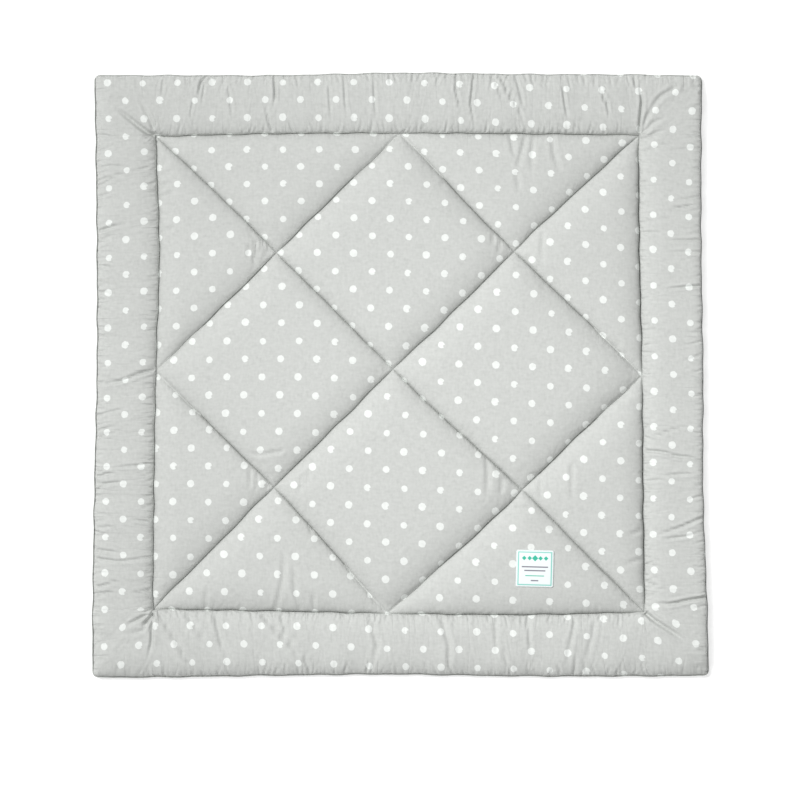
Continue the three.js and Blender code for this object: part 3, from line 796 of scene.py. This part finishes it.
def seam_lines():
    """The ends of every seam inside the outer edge, in the pattern."""
    h = FRAME_HALF
    corners = [(-h, -h), (h, -h), (h, h), (-h, h)]
    middles = [(0, -h), (h, 0), (0, h), (-h, 0)]
    square = [(corners[k], corners[(k + 1) % 4]) for k in range(4)]
    tilted = [(middles[k], middles[(k + 1) % 4]) for k in range(4)]
    return square, tilted + [(corners[0], corners[2]), (corners[3], corners[1])]


def all_puckers():
    dice = random.Random(PUCKER_SEED)
    frame_kind, edge_kind, panel_kind = PUCKERS
    square, diagonals = seam_lines()
    found = []
    for start, end in square:
        outward = np.array([(start[0] + end[0]) / 2, (start[1] + end[1]) / 2]) / FRAME_HALF
        found += puckers_along(frame_kind, dice, (start, end), outward)
        found += puckers_along(panel_kind, dice, (start, end), -outward)
        ratio = EDGE_HALF / FRAME_HALF
        edge = [(x * ratio, y * ratio) for x, y in (start, end)]
        found += puckers_along(edge_kind, dice, edge, -outward)
    for start, end in diagonals:
        along = np.array([end[0] - start[0], end[1] - start[1]])
        across = np.array([-along[1], along[0]]) / np.hypot(*along)
        found += puckers_along(panel_kind, dice, (start, end), across)
        found += puckers_along(panel_kind, dice, (start, end), -across)
    return found


def creased(points, pattern):
    """The top cloth with its creases and puckers pressed in, fading out where it is sewn down."""
    lifts = np.zeros(len(points))
    for crease in CREASES + all_puckers():
        near, lift = crease_lift(points[:, :2], *crease)
        lifts[near] += lift
    free = smooth((seam_distance(*pattern.T) - SEWN_FLAT) / SEWN_REACH)
    result = points.copy()
    result[:, 2] += lifts * free
    return result


TOP_PARTS = patches(PANEL_STEP, 1, BORDER_STEPS, [1] * BORDER_LINES)
UNDER_PARTS = patches(UNDER_PANEL_STEP, UNDER_ALONG_STEP, UNDER_BORDER_STEPS, UNDER_BORDER_STEPS)


def grid_points(used, height):
    """The points of a face where the grid is used, their pattern places, and each one's number."""
    numbers = np.full((COUNT, COUNT), -1)
    numbers[used] = np.arange(used.sum())
    i, j = np.nonzero(used)
    x, y = drawn_to_seams(GRID[i], GRID[j])
    flat = place(*round_corners(x, y)) - MIDDLE
    return np.column_stack([flat, height(x, y)]), np.column_stack([x, y]), numbers


def settled(points, pattern, rings):
    """The top cloth settled by a cloth simulation. The seams and the edge stay where they are, and
    weak springs to the start shape stand for the wadding."""
    mesh = bpy.data.meshes.new("settling")
    mesh.from_pydata(points.tolist(), [], rings)
    cloth_object = bpy.data.objects.new("settling", mesh)
    bpy.context.scene.collection.objects.link(cloth_object)
    group = cloth_object.vertex_groups.new(name="held")
    held = seam_distance(*pattern.T) < SEWN_FLAT
    held |= from_edge(*pattern.T) < LIP_WIDTH + SEWN_FLAT
    group.add(np.flatnonzero(held).tolist(), 1.0, "REPLACE")
    group.add(np.flatnonzero(~held).tolist(), WADDING_HOLD, "REPLACE")
    panels = cloth_object.vertex_groups.new(name="panels")
    panels.add(np.flatnonzero(inside_frame(*pattern.T) >= 0).tolist(), 1.0, "REPLACE")
    cloth = cloth_object.modifiers.new("Cloth", "CLOTH")
    cloth.settings.quality = 3
    cloth.settings.mass = 0.02
    for way, value in CLOTH_STIFFNESS.items():
        setattr(cloth.settings, way + "_stiffness", value)
    for way, value in CLOTH_DAMPING.items():
        setattr(cloth.settings, way + "_damping", value)
    cloth.settings.shrink_min = -BORDER_SLACK
    cloth.settings.shrink_max = -PANEL_SLACK
    cloth.settings.vertex_group_shrink = "panels"
    cloth.settings.vertex_group_mass = "held"
    cloth.settings.pin_stiffness = 1
    cloth.settings.use_pressure = True
    cloth.settings.uniform_pressure_force = WADDING_PRESSURE
    cloth.settings.effector_weights.gravity = 0
    cloth.collision_settings.use_collision = False
    cloth.collision_settings.use_self_collision = False
    for number in range(1, SETTLE_FRAMES + 1):
        bpy.context.scene.frame_set(number)
    evaluated = cloth_object.evaluated_get(bpy.context.evaluated_depsgraph_get())
    found = np.zeros(len(points) * 3, np.float32)
    evaluated.data.vertices.foreach_get("co", found)
    bpy.data.objects.remove(cloth_object)
    bpy.context.scene.frame_set(1)
    moved = found.reshape(-1, 3) - points
    length = np.linalg.norm(moved, axis=1, keepdims=True)
    return points + moved * np.minimum(1, SETTLE_CAP / np.maximum(length, 1e-9))


def cloth_places(real, pattern):
    """Where points lie on the flat cloth, in metres: the print follows the cloth, which has slipped
    by PRINT_SHIFTS and has a little hidden in every seam."""
    at = real[:, :2] + MIDDLE
    slipped = [surface(PRINT_SHIFTS, axis, *at.T, PRINT_PLACES) * MM for axis in ("x", "y")]
    return at + np.stack(slipped, 1) + hidden_in_seams(*pattern.T) - np.array(PRINT_START)


def hidden_in_seams(x, y):
    """How far the seams push the print away on both their sides, where they take cloth in."""

    def pushed(off):
        far = np.abs(off)
        take = SEAM_TAKE * np.exp(-far / TAKE_REACH) * (1 - np.exp(-far / TAKE_START))
        return np.sign(off) * take

    def off_diagonal(across):
        return (across - np.round(across / FRAME_HALF) * FRAME_HALF) / math.sqrt(2)

    inside = inside_frame(x, y) >= 0
    rising = pushed(off_diagonal(x + y)) * inside / math.sqrt(2)
    falling = pushed(off_diagonal(x - y)) * inside / math.sqrt(2)
    push_x, push_y = rising + falling, rising - falling
    for side in (-FRAME_HALF, FRAME_HALF):
        push_x = push_x + pushed(x - side) * (np.abs(y) < EDGE_HALF - BORDER_WIDTH / 2)
        push_y = push_y + pushed(y - side) * (np.abs(x) < EDGE_HALF - BORDER_WIDTH / 2)
    push_y = push_y + HEAD_SLIP * np.exp(-np.abs(y - FRAME_HALF) / HEAD_SLIP_REACH)
    return np.stack([push_x, push_y], 1)


def new_object(name, points, faces):
    mesh = bpy.data.meshes.new(name)
    mesh.from_pydata(np.asarray(points).tolist(), [], [list(map(int, face)) for face in faces])
    mesh.shade_smooth()
    made = bpy.data.objects.new(name, mesh)
    bpy.context.scene.collection.objects.link(made)
    return made


def on_seams(x, y):
    """Whether points of the pattern are on a seam, the edge's own seam and the outline included."""
    return (seam_distance(x, y) < ON_SEAM) | (np.abs(from_edge(x, y) - LIP_WIDTH) < ON_SEAM)


def gathers(x, y):
    """How strongly the cloth is gathered at points of the pattern: into folds that run up the mat,
    into folds that run across it, and beside the diagonal seams."""
    inward = inside_frame(x, y)
    distances = (-inward, from_edge(x, y), inward, from_diagonals(x, y))
    border, edge, panel, slanted = (
        row["strength"] * np.exp(-np.maximum(distance, 0) / row["reach"])
        for row, distance in zip(GATHER_PLACES, distances)
    )
    square = np.where(inward < 0, border + edge, panel)
    square = square * np.where((inward < 0) & (-x > np.abs(y)), GATHERS_LEFT, 1)
    upright = np.abs(y) > np.abs(x)
    return np.column_stack([square * upright, square * ~upright, np.where(inward < 0, 0, slanted)])


def sharpen(mesh, sewn):
    """The edges between sewn points made sharp, so that the cloth folds there and doesn't bend."""
    ends = np.zeros(2 * len(mesh.edges), np.int32)
    mesh.edges.foreach_get("vertices", ends)
    sharp = mesh.attributes.new("sharp_edge", "BOOLEAN", "EDGE")
    sharp.data.foreach_set("value", sewn[ends.reshape(-1, 2)].all(1))


def add_uv(target, name, corner_places):
    """A UV map from a row for each corner of each face."""
    layer = target.data.uv_layers.new(name=name)
    layer.data.foreach_set("uv", np.ascontiguousarray(corner_places, np.float32).ravel())


def make_cover():
    """The whole cover as one closed mesh."""
    top_used = used_points(TOP_PARTS)
    top, pattern, top_numbers = grid_points(top_used, top_height)
    top = creased(top, pattern)
    top_rings, top_faces = [], []
    for sides in cell_rings(TOP_PARTS, top_used):
        top_rings.append([int(top_numbers[p]) for side in sides for p in side])
        top_faces += [[top_numbers[p] for p in face] for face in cell_faces(sides)]
    top = settled(top, pattern, top_rings)

    rim = np.zeros((COUNT, COUNT), bool)
    rim[[0, -1], :] = rim[:, [0, -1]] = True
    under_used = used_points(UNDER_PARTS) & ~rim
    under, under_pattern, numbers = grid_points(under_used, under_height)
    numbers = np.where(under_used, numbers + len(top), top_numbers)
    around = under_used | (rim & top_used)
    under_faces = []
    for sides in cell_rings(UNDER_PARTS, around):
        under_faces += [[numbers[p] for p in face[::-1]] for face in cell_faces(sides)]

    cover = new_object("cover", np.vstack([top, under]), top_faces + under_faces)
    all_patterns = np.vstack([pattern, under_pattern])
    sharpen(cover.data, on_seams(*all_patterns.T))
    gathered = cover.data.attributes.new("gathers", "FLOAT_VECTOR", "POINT")
    gathered.data.foreach_set("vector", gathers(*all_patterns.T).ravel())
    flat_start = place(*round_corners(*all_patterns.T)) - MIDDLE
    on_cloth = cloth_places(flat_start, all_patterns)
    share = flat_start / (2 * BAKE_HALF) + 0.5
    corners = np.array(top_faces + under_faces).ravel()
    top_corners = 3 * len(top_faces)
    cloth_uv = on_cloth[corners]
    cloth_uv[top_corners:] = on_cloth[corners[top_corners:]] * (-1, 1) + UNDER_PRINT_SHIFT
    bake_uv = BAKE_TOP[0] + share[corners] * BAKE_TOP[1]
    bake_uv[top_corners:] = BAKE_UNDER[0] + share[corners[top_corners:]] * BAKE_UNDER[1]
    add_uv(cover, "OFBake", bake_uv)
    add_uv(cover, "Cloth", cloth_uv)
    return cover


def seam_path(ends, height, lift):
    """A seam as a row of points this far above the cloth, from its ends in the pattern."""
    (x0, y0), (x1, y1) = ends
    share = np.linspace(0, 1, int(math.hypot(x1 - x0, y1 - y0) / PATH_STEP) + 1)
    x, y = x0 + (x1 - x0) * share, y0 + (y1 - y0) * share
    return np.column_stack([place(*round_corners(x, y)) - MIDDLE, height(x, y) + lift])


def seam_paths(height, lift):
    square, diagonals = seam_lines()
    return [seam_path(ends, height, lift) for ends in square + diagonals]


def edge_paths():
    """The edge's own seam, seen from above only."""
    out = (EDGE_HALF - LIP_WIDTH) / FRAME_HALF
    lines = [[(x * out, y * out) for x, y in ends] for ends in seam_lines()[0]]
    return [seam_path(ends, lip_seam, STITCH_RISE) for ends in lines]


def at_lengths(path, lengths):
    """The points at the given lengths along a row of points."""
    done = np.concatenate([[0], np.cumsum(np.linalg.norm(np.diff(path, axis=0), axis=1))])
    return np.stack([np.interp(lengths, done, path[:, k]) for k in range(3)], 1), done[-1]


def stitch_row(path, pitch, length, radius, lift):
    """The stitches along a path: each a short thread that dips into the cloth at both ends. The lift
    is how far the middle of a stitch stands out of the cloth, below 0 on the underside."""
    points, faces = [], []
    _, total = at_lengths(path, [0])
    turns = 2 * math.pi * np.arange(STITCH_SIDES) / STITCH_SIDES
    for start in np.arange(pitch / 2, total - pitch / 2, pitch):
        spots, _ = at_lengths(path, start + STITCH_AT * length)
        spots[:, 2] += STITCH_ARCH * lift
        along = (spots[-1] - spots[0]) / np.linalg.norm(spots[-1] - spots[0])
        side = np.cross(along, (0, 0, 1))
        around = radius * (np.outer(np.cos(turns), side) + np.outer(np.sin(turns), (0, 0, 1)))
        first = len(points)
        points.append(spots[0])
        for spot in spots[1:4]:
            points.extend(spot + around)
        points.append(spots[4])
        last = len(points) - 1
        for k in range(STITCH_SIDES):
            a, b = first + 1 + k, first + 1 + (k + 1) % STITCH_SIDES
            faces.append((first, b, a))
            for ring in range(2):
                low = ring * STITCH_SIDES
                faces.append((a + low, b + low, b + low + STITCH_SIDES, a + low + STITCH_SIDES))
            faces.append((a + 2 * STITCH_SIDES, b + 2 * STITCH_SIDES, last))
    return points, faces


def make_stitches(name, paths, material, **sizes):
    points, faces = [], []
    for path in paths:
        more_points, more_faces = stitch_row(path, **sizes)
        faces += [[k + len(points) for k in face] for face in more_faces]
        points += more_points
    stitches = new_object(name, points, faces)
    stitches.data.materials.append(material)
    return stitches


def label_place(u, v):
    """The place on the mat of points of the label, u and v going from -1 to 1 across and up it."""
    u, v = round_corners(u, v, 1, LABEL_ROUND / (LABEL_WIDTH / 2))
    turn = math.radians(LABEL_TURN)
    x, y = u * LABEL_WIDTH / 2, v * LABEL_HEIGHT / 2
    flat = np.stack([x * math.cos(turn) - y * math.sin(turn), x * math.sin(turn) + y * math.cos(turn)], 1)
    return flat + np.array(LABEL_MIDDLE) - MIDDLE


def heights_on(target, places):
    """The heights of an object's top at these places."""
    tree = BVHTree.FromObject(target, bpy.context.evaluated_depsgraph_get())
    down = Vector((0, 0, -1))
    return np.array([tree.ray_cast(Vector((x, y, 1)), down)[0].z for x, y in places])


def label_seam_path(label):
    """The seam round the label, a little inside its edge."""
    side, end = np.linspace(-1, 1, LABEL_SEAM_POINTS), np.ones(LABEL_SEAM_POINTS)
    u = np.concatenate([side, end, -side, -end])
    v = np.roll(u, LABEL_SEAM_POINTS)
    inset = 1 - 2 * LABEL_SEAM_INSET / LABEL_WIDTH
    path = label_place(u * inset, v * inset)
    return np.column_stack([path, heights_on(label, path)])


def make_label(cover, material):
    """The satin label, lying on the top cloth and sewn down round its edge."""
    count = LABEL_CELLS + 1
    side = np.linspace(-1, 1, count)
    u, v = (a.ravel() for a in np.meshgrid(side, side, indexing="ij"))
    flat = label_place(u, v)
    height = heights_on(cover, flat).reshape(count, count)
    for _ in range(LABEL_SMOOTHINGS):
        padded = np.pad(height, 1, mode="edge")
        around = padded[:-2, 1:-1] + padded[2:, 1:-1] + padded[1:-1, :-2] + padded[1:-1, 2:]
        height = np.maximum(height, around / 4)
    below = np.column_stack([flat, height.ravel() + LABEL_GAP])
    edge = np.maximum(np.abs(u), np.abs(v))
    above = below.copy()
    above[:, 2] += LABEL_THICK + LABEL_PUFF * smooth((1 - edge) / LABEL_PUFF_EDGE)
    size = count * count
    numbers = np.arange(size).reshape(count, count)
    around = (numbers[:-1, :-1], numbers[1:, :-1], numbers[1:, 1:], numbers[:-1, 1:])
    cells = np.stack([part.ravel() for part in around], 1)
    ring = [*numbers[:-1, 0], *numbers[-1, :-1], *numbers[:0:-1, -1], *numbers[0, :0:-1]]
    walls = [(a + size, b + size, b, a) for a, b in zip(ring, ring[1:] + ring[:1])]
    faces = [*cells, *(cells[:, ::-1] + size), *walls]
    label = new_object("label_cloth", np.vstack([above, below]), faces)
    flat_uv = np.column_stack([(u + 1) / 2, (v + 1) / 2])
    add_uv(label, "Print", flat_uv[np.array(faces).ravel() % size])
    label.data.materials.append(material)
    return label


class Nodes:
    """A material's node tree, with short ways to add and join nodes."""

    def __init__(self, name, **shader):
        self.material = bpy.data.materials.new(name)
        self.material.use_nodes = True
        self.tree = self.material.node_tree
        self.shader = self.tree.nodes["Principled BSDF"]
        self.fill(self.shader, **shader)

    def join(self, value, socket):
        """Give an input its value, or join it to the output of another node."""
        if isinstance(value, bpy.types.NodeSocket):
            self.tree.links.new(value, socket)
        else:
            socket.default_value = value

    def fill(self, node, **inputs):
        for name, value in inputs.items():
            self.join(value, node.inputs[name.replace("_", " ")])
        return node

    def add(self, kind, *inputs, output=0, **settings):
        """A node of the kind given, with its inputs in order: values, or outputs of other nodes."""
        node = self.tree.nodes.new(kind)
        for name, value in settings.items():
            setattr(node, name, value)
        for value, socket in zip(inputs, node.inputs):
            self.join(value, socket)
        return node.outputs[output]

    def math(self, operation, *inputs):
        return self.add("ShaderNodeMath", *inputs, operation=operation)

    def vector(self, operation, *inputs, output=0):
        return self.add("ShaderNodeVectorMath", *inputs, operation=operation, output=output)

    def within(self, distance, soft):
        """1 where a distance is below 0, 0 where it is above, softly between."""
        return self.add("ShaderNodeMapRange", distance, soft, -soft, 0.0, 1.0)

    def mixed(self, share, below, above):
        node = self.tree.nodes.new("ShaderNodeMix")
        node.data_type = "RGBA"
        for number, value in ((0, share), (6, below), (7, above)):
            self.join(value, node.inputs[number])
        return node.outputs[2]

    def noise(self, at, scale, detail=2.0):
        node = self.tree.nodes.new("ShaderNodeTexNoise")
        return self.fill(node, Vector=at, Scale=scale, Detail=detail).outputs[0]

    def bump(self, height, strength, distance):
        node = self.tree.nodes.new("ShaderNodeBump")
        self.fill(node, Strength=strength, Distance=distance, Height=height)
        self.fill(self.shader, Normal=node.outputs[0])

    def colour(self, value):
        self.fill(self.shader, Base_Color=value)


def axes_of(nodes, vector):
    """The three parts of a vector."""
    axes = nodes.tree.nodes.new("ShaderNodeSeparateXYZ")
    nodes.tree.links.new(vector, axes.inputs[0])
    return axes.outputs[:]


def plain_weave(nodes, at, thread):
    """The height of a plain weave with threads of the width given, from -1 to 1."""
    parts = axes_of(nodes, at)[:2]
    waves = [nodes.math("SINE", nodes.math("MULTIPLY", part, math.pi / thread)) for part in parts]
    return nodes.math("MULTIPLY", *waves)


def stretched(nodes, at, along, across):
    return nodes.vector("MULTIPLY", at, (along, across, 1.0))


def cotton_material():
    """Light grey plain-woven cotton printed with staggered white dots."""
    nodes = Nodes("cotton_print", Roughness=0.88, Specular_IOR_Level=0.25, Sheen_Weight=0.12)
    cloth = nodes.add("ShaderNodeUVMap", uv_map="Cloth")

    rows = nodes.add("ShaderNodeMapping", cloth)
    turn, scale = (0, 0, math.radians(45)), [math.sqrt(2) / DOT_PITCH] * 3
    nodes.fill(rows.node, Rotation=turn, Scale=scale)
    shifted = nodes.vector("ADD", rows, (0.5, 0.5, 0.0))
    cell = nodes.vector("FLOOR", shifted)
    inside = nodes.vector("SUBTRACT", nodes.vector("FRACTION", shifted), (0.5, 0.5, 0.0))
    dice = nodes.tree.nodes.new("ShaderNodeTexWhiteNoise")
    dice.noise_dimensions = "2D"
    nodes.tree.links.new(cell, dice.inputs["Vector"])
    jitter = nodes.vector("SUBTRACT", dice.outputs["Color"], (0.5, 0.5, 0.5))
    spot = nodes.vector("ADD", inside, nodes.vector("MULTIPLY", jitter, (DOT_JITTER, DOT_JITTER, 0.0)))
    spot = nodes.vector("MULTIPLY", spot, (1.0, 1.0, 0.0))
    unit = DOT_PITCH / math.sqrt(2)
    smallest, largest = (size / 2 / unit for size in DOT_SIZES)
    radius = nodes.add("ShaderNodeMapRange", dice.outputs["Value"], 0.0, 1.0, smallest, largest)
    ragged = nodes.math("SUBTRACT", nodes.noise(cloth, *RAGGED_NOISE), 0.5)
    ragged = nodes.math("MULTIPLY", ragged, DOT_RAGGED / unit)
    far = nodes.math("ADD", nodes.vector("LENGTH", spot, output=1), ragged)
    dot = nodes.within(nodes.math("SUBTRACT", far, radius), DOT_SOFT / unit)
    nick_dice = axes_of(nodes, dice.outputs["Color"])[2]
    nick_size = nodes.add("ShaderNodeMapRange", nick_dice, *NICK_DICE, *NICK_SIZES)
    nick_place = nodes.vector("SCALE", NICK_PLACE)
    nodes.tree.links.new(radius, nick_place.node.inputs["Scale"])
    from_nick = nodes.vector("LENGTH", nodes.vector("SUBTRACT", spot, nick_place), output=1)
    nick = nodes.math("SUBTRACT", from_nick, nodes.math("MULTIPLY", nick_size, radius))
    dot = nodes.math("SUBTRACT", dot, nodes.within(nick, DOT_SOFT / unit))
    dot = nodes.math("MAXIMUM", dot, 0.0)

    warp = nodes.noise(stretched(nodes, cloth, *STREAKS), 1.0, CLOTH_DETAIL)
    weft = nodes.noise(stretched(nodes, cloth, *STREAKS[::-1]), 1.0, CLOTH_DETAIL)
    threads = nodes.math("MULTIPLY", nodes.math("ADD", warp, weft), 0.5)
    threads = nodes.add("ShaderNodeMapRange", threads, *STREAK_RANGE, 0.0, 1.0)
    mottles = nodes.noise(cloth, MOTTLES, CLOTH_DETAIL)
    mottled = nodes.add("ShaderNodeMapRange", mottles, *MOTTLE_RANGE, 0.0, 1.0)
    grey = nodes.mixed(threads, COTTON_DARK, COTTON_LIGHT)
    grey = nodes.mixed(nodes.math("MULTIPLY", mottled, MOTTLE_SHARE), grey, COTTON_LIGHT)
    ink = nodes.mixed(threads, DOT_DARK, DOT_LIGHT)
    nodes.colour(nodes.mixed(dot, grey, ink))

    weave = nodes.math("MULTIPLY", plain_weave(nodes, cloth, THREAD_PITCH), WEAVE_DEPTH)
    slubs = nodes.math("MULTIPLY", threads, SLUB_DEPTH)
    strengths = axes_of(nodes, nodes.add("ShaderNodeAttribute", attribute_name="gathers", output=1))
    height = nodes.math("ADD", weave, slubs)
    for strength, scales in zip(strengths, (GATHERS, GATHERS[::-1], GATHERS_OVER)):
        ridged = nodes.math("SUBTRACT", nodes.noise(stretched(nodes, cloth, *scales), 1.0), 0.5)
        folds = nodes.math("ABSOLUTE", ridged)
        trough = nodes.add("ShaderNodeMapRange", folds, 0.0, GATHER_EDGE, -GATHER_DEPTH, 0.0)
        height = nodes.math("ADD", height, nodes.math("MULTIPLY", trough, strength))
    nodes.bump(height, 1.0, 1.0)
    return nodes.material


def thread_material(name, colour):
    nodes = Nodes(name, Roughness=0.6, Sheen_Weight=0.2)
    at = nodes.add("ShaderNodeTexCoord", output=3)
    twist = nodes.noise(stretched(nodes, at, TWIST, TWIST), 1.0)
    # Painted shade: the thread is darker in the low grooves between its twists, where the bump below is low
    dark = (*(part * TWIST_GROOVE_SHADE for part in colour[:3]), 1.0)
    nodes.colour(nodes.mixed(twist, dark, colour))
    nodes.bump(twist, *TWIST_BUMP)
    return nodes.material


def label_material():
    """White satin with a thin green-blue border line, a row of small diamonds and four plain rules."""
    nodes = Nodes("label_satin", Roughness=0.42, Specular_IOR_Level=0.4, Sheen_Weight=0.15)
    at = nodes.add("ShaderNodeUVMap", uv_map="Print")
    right, up = axes_of(nodes, at)[:2]

    def off(axis, middle):
        return nodes.math("ABSOLUTE", nodes.math("SUBTRACT", axis, middle))

    def box(x, y, width, height):
        beside = nodes.math("SUBTRACT", off(right, x), width / 2)
        above = nodes.math("SUBTRACT", off(up, y), height / 2)
        return nodes.math("MAXIMUM", beside, above)

    def printed(distance, below, ink):
        return nodes.mixed(nodes.within(distance, LABEL_SOFT), below, ink)

    satin = nodes.noise(stretched(nodes, at, *SATIN), 1.0)
    colour = nodes.mixed(satin, LABEL_WHITE_DARK, LABEL_WHITE)
    off_line = off(box(0.5, 0.5, 0.0, 0.0), LABEL_LINE_AT)
    colour = printed(nodes.math("SUBTRACT", off_line, LABEL_LINE_WIDTH / 2), colour, LABEL_TEAL_PALE)
    for number, size in enumerate(DIAMOND_SIZES):
        middle = 0.5 + (number - len(DIAMOND_SIZES) // 2) * DIAMOND_STEP
        diamond = nodes.math("ADD", off(right, middle), off(up, DIAMONDS_UP))
        colour = printed(nodes.math("SUBTRACT", diamond, size), colour, LABEL_TEAL)
    for row in LABEL_RULES:
        rule = box(0.5, row["up"], row["width"], row["thick"])
        colour = printed(rule, colour, row["colour"])
    nodes.colour(colour)
    nodes.bump(satin, *SATIN_BUMP)
    return nodes.material


def make_stage():
    """A plain white light table, an even sky, a soft sun from the head left and a lamp overhead."""
    bpy.ops.mesh.primitive_plane_add(size=FLOOR_SIZE, location=(0, 0, -FLOOR_DROP))
    floor = bpy.context.object
    floor.name = "floor"
    table = Nodes("table", Base_Color=FLOOR_COLOUR, Roughness=0.95, Specular_IOR_Level=0.1)
    table.fill(table.shader, Emission_Color=(1, 1, 1, 1), Emission_Strength=FLOOR_GLOW)
    floor.data.materials.append(table.material)

    world = bpy.data.worlds.new("studio")
    bpy.context.scene.world = world
    world.use_nodes = True
    background = world.node_tree.nodes["Background"]
    background.inputs["Color"].default_value = (1, 1, 1, 1)
    background.inputs["Strength"].default_value = SKY_STRENGTH

    sun = bpy.data.lights.new("key", "SUN")
    sun.energy = SUN_STRENGTH
    sun.angle = math.radians(SUN_SIZE)
    key = bpy.data.objects.new("key", sun)
    rise_angle = math.radians(SUN_HEIGHT)
    flat = np.array(SUN_FROM) / np.hypot(*SUN_FROM) * math.cos(rise_angle)
    key.rotation_euler = Vector((*flat, math.sin(rise_angle))).to_track_quat("Z", "Y").to_euler()
    bpy.context.scene.collection.objects.link(key)

    lamp = bpy.data.lights.new("overhead", "AREA")
    lamp.shape = "DISK"
    lamp.size = OVERHEAD_SIZE
    lamp.energy = OVERHEAD_POWER
    overhead = bpy.data.objects.new("overhead", lamp)
    overhead.location = (0, 0, OVERHEAD_HEIGHT)
    bpy.context.scene.collection.objects.link(overhead)


def make_camera():
    camera = bpy.data.cameras.new("camera")
    camera.lens = LENS
    camera.sensor_width = SENSOR
    camera.clip_end = 100
    view = bpy.data.objects.new("camera", camera)
    view.location = (*VIEW_MIDDLE, VIEW_LEVEL + VIEW_WIDTH * LENS / SENSOR)
    bpy.context.scene.collection.objects.link(view)
    bpy.context.scene.camera = view


make_stage()
make_camera()
bpy.context.scene.view_settings.view_transform = "Standard"

thread = thread_material("thread_grey", THREAD_GREY)
cover = make_cover()
cover.data.materials.append(cotton_material())
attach(cover, "root")
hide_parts("mat")

top_paths = seam_paths(panel_height, STITCH_RISE) + edge_paths()
top_stitches = make_stitches("stitches_top", top_paths, thread, lift=STITCH_LIFT, **STITCH)
under_paths = seam_paths(under_height, -STITCH_RISE)
under_stitches = make_stitches("stitches_under", under_paths, thread, lift=-STITCH_LIFT, **STITCH)
for stitches in (top_stitches, under_stitches):
    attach(stitches, "root")

label = make_label(cover, label_material())
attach(label, "root")
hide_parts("label")
white_thread = thread_material("thread_white", THREAD_WHITE)
label_paths = [label_seam_path(label)]
label_stitches = make_stitches("stitches_label", label_paths, white_thread, **LABEL_STITCH)
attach(label_stitches, "root")
